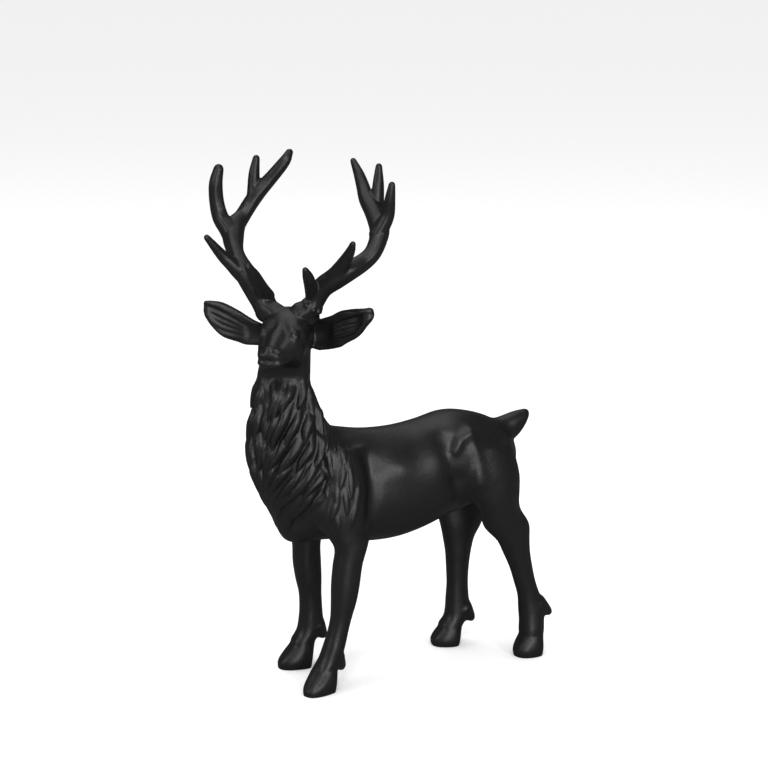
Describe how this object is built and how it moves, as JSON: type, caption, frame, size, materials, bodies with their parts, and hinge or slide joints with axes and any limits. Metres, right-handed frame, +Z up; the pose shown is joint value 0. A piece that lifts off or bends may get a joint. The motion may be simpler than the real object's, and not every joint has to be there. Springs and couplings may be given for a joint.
{
  "type": "stag statue",
  "caption": "Cast iron stag standing on its hooves, head turned aside, with branched antlers, cupped ears, a long carved mane and a short raised tail.",
  "frame": {"origin": "on the floor under the middle of the figure's plan", "axes": "the stag faces -Y, its left side is +X, +Z is up and its soles lie on Z = 0"},
  "size_m": [0.143, 0.29, 0.432],
  "materials": {
    "cast_iron": "black satin paint, a little worn and shiny on the high places"
  },
  "bodies": {
    "root": {"stag": "cast_iron"}
  },
  "joints": []
}
